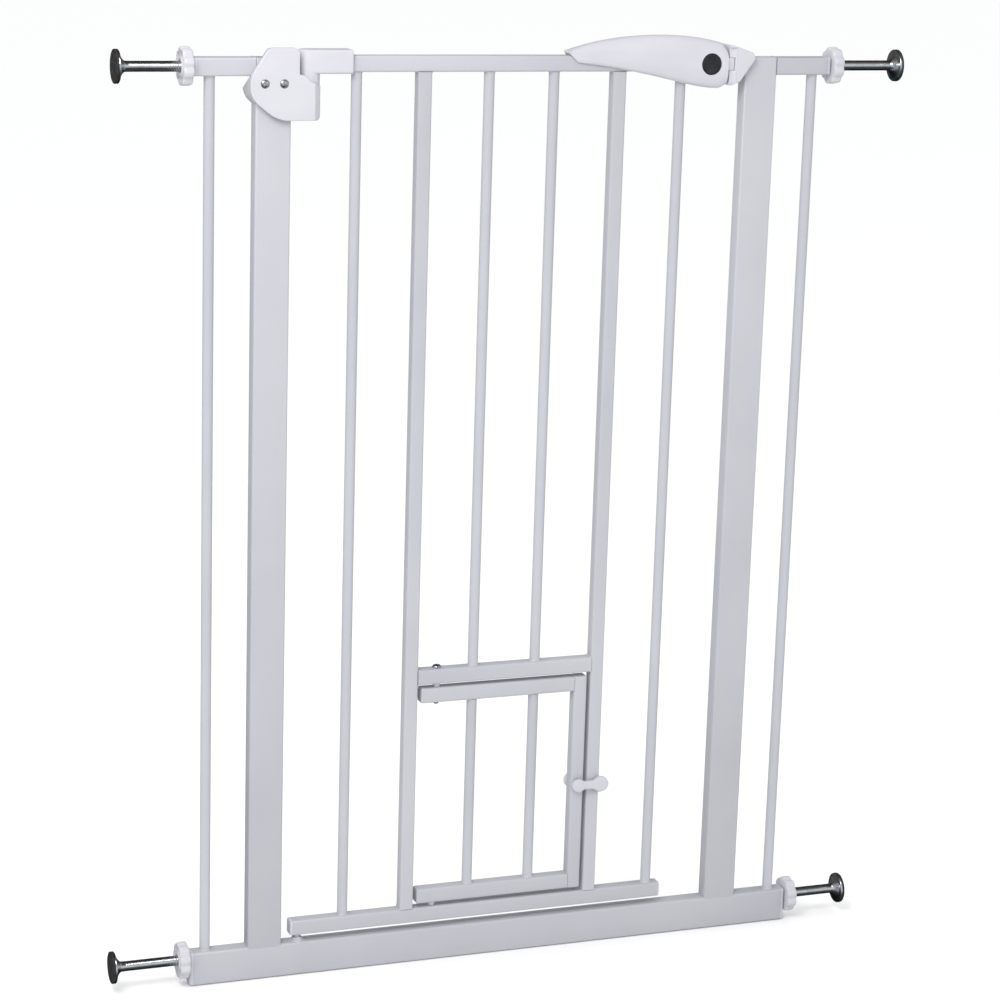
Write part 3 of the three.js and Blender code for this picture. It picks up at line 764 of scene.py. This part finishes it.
def handle():
    """A teardrop grip: its face bulges over the rail and leans back to a narrow top edge."""
    low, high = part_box("handle_front_shell")
    left, right, top, bottom = low.x, high.x, high.z, low.z
    depth = -low.y
    heel = (left + 11.3 * MM, top - 30.4 * MM)
    back = [
        (left + 1.6 * MM, top - 17.4 * MM), (left + 47 * MM, top + 0.4 * MM),
        (right - 55 * MM, top + 6.7 * MM), (right - 2.6 * MM, top - 9 * MM),
    ]
    nose = [
        (left + 0.3 * MM, top - 20 * MM), (left + 3.5 * MM, top - 23.5 * MM),
        (left + 7.3 * MM, top - 27.7 * MM),
    ]
    belly = [
        (left + 112 * MM, bottom + 17.3 * MM), (right - 40 * MM, bottom - 2.4 * MM),
        (right - 7.3 * MM, bottom + 0.3 * MM),
    ]
    upper = bezier(*back, 84) + [(right - 0.4 * MM, top - 13 * MM)]
    lower = bezier(*nose, heel, 12) + bezier(heel, *belly, 72) + [(right - 0.4 * MM, bottom + 4.5 * MM)]
    rows = 22
    edge_low, edge_top = 10.2 * MM, 3.5 * MM  # half depths of the lower and upper edge
    rail_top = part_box("gate_top_rail")[1].z
    for side, node in ((-1, "handle_front_shell"), (1, "handle_rear_shell")):
        rings = []
        for (xu, zu), (xl, zl) in zip(upper, lower):
            share = (xu - left) / (right - left)
            swell = (0.62 + 0.38 * math.sin(min(1, share * 1.35) * math.pi / 2)) * depth
            column = []
            for k in range(rows + 1):
                v = k / rows
                z = zl + v * (zu - zl)
                above_rail = min(1, max(0, (z - rail_top) / (5 * MM)))
                base = edge_low + (edge_top - edge_low) * above_rail
                bulge = min(1, 4.2 * v * (1 - v)) ** (0.42 if v < 0.5 else 0.55)
                y = base + (swell - base) * bulge
                column.append((xl + v * (xu - xl), side * y, z))
            flat = [(xl + v * (xu - xl), side * SEAM, zl + v * (zu - zl)) for v in (1, 0)]
            rings.append(column + flat)
        shell = loft(node + "_moulding", rings)
        soften(shell, 1.2 * MM, 4, 50)
        rail_low, rail_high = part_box("gate_top_rail")
        gap = 0.3 * MM
        button_low, button_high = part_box("front_button")
        at = ((button_low.x + button_high.x) / 2, (button_low.z + button_high.z) / 2)
        bolt_low, bolt_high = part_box("latch_bolt")
        stem_y, stem_z = STEM[0] + gap, STEM[1] + gap
        button_radius = 12.35 * MM
        bar_low, bar_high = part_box("gate_bar_4")
        bar_at = ((bar_low.x + bar_high.x) / 2, 0)
        carve(
            shell,
            room_for(rail_low, rail_high, gap, x=(left - FAR, rail_high.x + gap)),
            lathe("tool", "y", at, [(button_radius, -FAR / 2), (button_radius, FAR / 2)], 64),
            lathe("tool", "z", bar_at, [(6.3 * MM, 0.9), (6.3 * MM, rail_high.z)], 40),
            cuboid((at[0], -stem_y, at[1] - stem_z), (right + FAR, stem_y, at[1] + stem_z)),
            room_for(bolt_low, bolt_high, gap, x=(bolt_high.x - 15.1 * MM, right + FAR)),
        )
        stand_for(shell, node, sharp=40)


def buttons():
    """Two round buttons with a dished face."""
    for node, side in (("front_button", -1), ("rear_button", 1)):
        low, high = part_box(node)
        at = ((low.x + high.x) / 2, (low.z + high.z) / 2)
        face = low.y if side < 0 else high.y
        back = high.y if side < 0 else low.y
        profile = [(TINY, back), (12 * MM, back)]
        dish = ((12, 2.2), (11.9, 1.4), (11.5, 0.9), (10.8, 0.65), (9, 0.75), (6, 1.05), (3, 1.2), (0, 1.25))
        profile += [(r * MM, face - side * d * MM) for r, d in dish]
        stand_for(lathe(node + "_moulding", "y", at, profile, 64), node, sharp=50)


def latch_parts():
    """The T-shaped latch bolt, and the keeper whose groove takes its head."""
    low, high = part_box("latch_bolt")
    middle = (low.z + high.z) / 2
    stem_y, stem_z = STEM
    bolt = cuboid((high.x - 8.8 * MM, low.y, low.z), high)
    fuse(bolt, cuboid((low.x, -stem_y, middle - stem_z), (high.x - 8 * MM, stem_y, middle + stem_z)))
    soften(bolt, 0.45 * MM, 3)
    bolt.name = "latch_bolt_moulding"
    stand_for(bolt, "latch_bolt")

    node = "latch_keeper"
    low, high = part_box(node)
    left, right, top, bottom = low.x, high.x, high.z, low.z
    depth = high.y
    corners = [
        (left, top, 1.5 * MM), (left + 11 * MM, top - 3 * MM, 30 * MM),
        (right - 3 * MM, top - 9 * MM, 5 * MM), (right, top - 16 * MM, 4 * MM),
        (left + 12.5 * MM, bottom + 4.5 * MM, 5 * MM), (left, bottom, 1.5 * MM),
    ]
    keeper = plate(node + "_moulding", filleted(corners), -depth, depth, 2.2 * MM, 5)
    slope = [
        (left - 5 * MM, -depth - 5 * MM), (left + 8 * MM, -depth - 5 * MM),
        (left + 8 * MM, -depth + 0.6 * MM), (left, -depth + 4.2 * MM), (left - 5 * MM, -depth + 6.4 * MM),
    ]
    band_ends = (bottom + 2.5 * MM, top - 3.2 * MM)
    band = loft("tool", [[(x, y, z) for x, y in slope] for z in band_ends])
    post_low, post_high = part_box("right_upright")
    gap = 0.3 * MM
    post_x = (post_low.x - gap, post_high.x)
    slack = 0.22 * MM  # play of the bolt in its groove
    bolt_low, bolt_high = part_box("latch_bolt")
    carve(
        keeper,
        band,
        room_for(post_low, post_high, gap, post_x, (bottom - FAR, post_high.z + gap)),
        cuboid((left - FAR, -FAR, bolt_low.z - slack), (bolt_high.x + 1.5 * slack, FAR, bolt_high.z + slack)),
    )
    stand_for(keeper, node, sharp=35)


# ---------------------------------------------------------------- turn latch of the small door


def door_latch():
    """The turn latch: a waisted lever between two round lobes, on a shaft, with a knob behind."""
    low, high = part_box("door_latch_lever")
    knob_low, knob_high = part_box("door_latch_knob")
    pivot = ((knob_low.x + knob_high.x) / 2, (knob_low.z + knob_high.z) / 2)
    reach = 28.5 * MM  # between the centres of the two lobes
    small_radius, large_radius = 8.0 * MM, 9.5 * MM
    rings = []
    steps, columns = 40, 60
    x0, x1 = low.x, high.x
    back = low.y + 7.5 * MM
    for i in range(columns + 1):
        t = i / columns
        x = x0 + (x1 - x0) * (0.5 - 0.5 * math.cos(math.pi * t))
        small = max(0.0, 1 - ((x - pivot[0]) / small_radius) ** 2) ** 0.5 * small_radius
        large = max(0.0, 1 - ((x - pivot[0] - reach) / large_radius) ** 2) ** 0.5 * large_radius
        waist = 0.0
        if pivot[0] < x < pivot[0] + reach:
            s = (x - pivot[0]) / reach
            waist = (4.7 + 3.6 * (2 * s - 1) ** 4 + 1.0 * s) * MM
        half = max((small ** 6 + large ** 6 + waist ** 6) ** (1 / 6), 0.2 * MM)
        thick = 7.5 * MM * (0.80 + 0.20 * min(1, half / (7.5 * MM)))
        swell = thick / 2 * min(1, 0.25 + half / (3 * MM))
        ring = []
        for k in range(steps):
            a = 2 * math.pi * k / steps
            c, s = math.cos(a), math.sin(a)
            u = math.copysign(abs(c) ** 0.62, c) * half
            w = math.copysign(abs(s) ** 0.55, s)
            ring.append((x, back - thick / 2 - w * swell, pivot[1] + u))
        rings.append(ring)
    lever = loft("door_latch_lever_moulding", rings)
    shaft = lathe("tool", "y", pivot, [(3 * MM, back - 2 * MM), (3 * MM, high.y)], 32)
    fuse(lever, shaft)
    stand_for(lever, "door_latch_lever", sharp=40)

    r, edge = 9.5 * MM, 2.6 * MM
    y0, y1 = knob_low.y, knob_high.y
    shoulder = y1 - 3 * MM
    profile = [(TINY, y0), (8.2 * MM, y0), (9 * MM, y0 + 0.3 * MM), (r, y0 + 1.2 * MM), (r, shoulder)]
    for i in range(1, 7):
        a = i / 6 * math.pi / 2
        profile.append((r - edge + edge * math.cos(a), shoulder + edge * math.sin(a)))
    profile += [(4 * MM, y1 - 0.2 * MM), (TINY, y1)]
    stand_for(lathe("door_latch_knob_moulding", "y", pivot, profile), "door_latch_knob", sharp=50)


# ---------------------------------------------------------------- nodes that stay


def carried_nodes():
    """The coil spring inside the handle keeps its CAD shape."""
    spring = frame["nodes"]["button_spring"]
    spring.data.materials.clear()
    spring.data.materials.append(FINISH["steel"])


# ---------------------------------------------------------------- camera, floor and light


def camera():
    data = bpy.data.cameras.new("camera")
    data.lens = 101.65
    data.sensor_width = 36
    data.clip_end = 200
    cam = bpy.data.objects.new("camera", data)
    bpy.context.scene.collection.objects.link(cam)
    yaw, pitch, roll = (math.radians(a) for a in (20.395, 13.563, -1.745))
    forward = Vector((math.sin(yaw) * math.cos(pitch), math.cos(yaw) * math.cos(pitch), -math.sin(pitch)))
    right = Vector((math.cos(yaw), -math.sin(yaw), 0))
    down = forward.cross(right)
    rolled_right = math.cos(roll) * right + math.sin(roll) * down
    rolled_down = -math.sin(roll) * right + math.cos(roll) * down
    axes = Matrix((rolled_right, -rolled_down, -forward)).transposed()
    cam.matrix_world = Matrix.Translation((-1.1164, -2.9738, 1.3214)) @ axes.to_4x4()
    bpy.context.scene.camera = cam


def floor():
    mesh = bpy.data.meshes.new("floor")
    size, z = 60, CAD_LOW.z - 0.0005
    corners = [(-size, -size, z), (size, -size, z), (size, size, z), (-size, size, z)]
    mesh.from_pydata(corners, [], [(0, 1, 2, 3)])
    obj = bpy.data.objects.new("floor", mesh)
    bpy.context.scene.collection.objects.link(obj)
    mat, tree, shader = new_material("pale_floor", (0.96, 0.96, 0.96), 0.9)
    shader.inputs["Specular IOR Level"].default_value = 0.1
    mesh.materials.append(mat)
    obj.visible_glossy = False


def area_light(name, place, target, size, power, color=(1, 1, 1)):
    data = bpy.data.lights.new(name, "AREA")
    data.shape = "RECTANGLE"
    data.size, data.size_y = size
    data.energy = power
    data.color = color
    lamp = bpy.data.objects.new(name, data)
    lamp.location = place
    lamp.rotation_euler = (Vector(target) - Vector(place)).to_track_quat("-Z", "Y").to_euler()
    bpy.context.scene.collection.objects.link(lamp)


def studio_world():
    """An evenly bright room. Reflections see a bright band in front, and darkness elsewhere."""
    world = bpy.data.worlds.new("studio")
    bpy.context.scene.world = world
    world.use_nodes = True
    nodes, links = world.node_tree.nodes, world.node_tree.links
    bright = nodes["Background"]
    bright.inputs["Color"].default_value = (0.99, 0.995, 1.0, 1)
    bright.inputs["Strength"].default_value = 1.06
    seen = nodes.new("ShaderNodeBackground")
    coords = nodes.new("ShaderNodeTexCoord")
    split = nodes.new("ShaderNodeSeparateXYZ")
    links.new(coords.outputs["Generated"], split.inputs["Vector"])
    height = nodes.new("ShaderNodeMapRange")
    height.inputs["From Min"].default_value = -1
    links.new(split.outputs["Z"], height.inputs["Value"])
    band = nodes.new("ShaderNodeValToRGB")
    stops = (
        (0.0, (0.05, 0.04, 0.04)), (0.24, (0.10, 0.09, 0.09)), (0.36, (0.30, 0.42, 0.46)),
        (0.46, (0.80, 0.86, 0.88)), (0.66, (0.95, 0.92, 0.90)), (0.84, (0.35, 0.30, 0.30)),
        (0.93, (0.06, 0.05, 0.055)),
    )
    while len(band.color_ramp.elements) < len(stops):
        band.color_ramp.elements.new(0.5)
    for element, (place, color) in zip(band.color_ramp.elements, stops):
        element.position = place
        element.color = (*color, 1)
    links.new(height.outputs["Result"], band.inputs["Fac"])
    links.new(band.outputs["Color"], seen.inputs["Color"])
    front = nodes.new("ShaderNodeMapRange")
    front.inputs["From Min"].default_value = 0.45
    front.inputs["From Max"].default_value = -0.35
    front.inputs["To Min"].default_value = 0.10
    front.inputs["To Max"].default_value = 0.85
    links.new(split.outputs["Y"], front.inputs["Value"])
    links.new(front.outputs["Result"], seen.inputs["Strength"])
    rays = nodes.new("ShaderNodeLightPath")
    mix = nodes.new("ShaderNodeMixShader")
    links.new(rays.outputs["Is Glossy Ray"], mix.inputs["Fac"])
    links.new(bright.outputs["Background"], mix.inputs[1])
    links.new(seen.outputs["Background"], mix.inputs[2])
    links.new(mix.outputs["Shader"], nodes["World Output"].inputs["Surface"])


def lights():
    studio_world()
    area_light("key", (-1.2, -1.4, 2.25), (0, 0, 0.95), (1.0, 1.0), 29, (1.0, 0.99, 0.975))
    bpy.context.scene.view_settings.view_transform = "Standard"


camera()
floor()
lights()
frame_tubes()
leaf_tubes()
door_tubes()
end_plugs()
wall_fixings()
hinge_housing()
screws()
hinge_sleeve()
small_turnings()
handle()
buttons()
latch_parts()
door_latch()
carried_nodes()
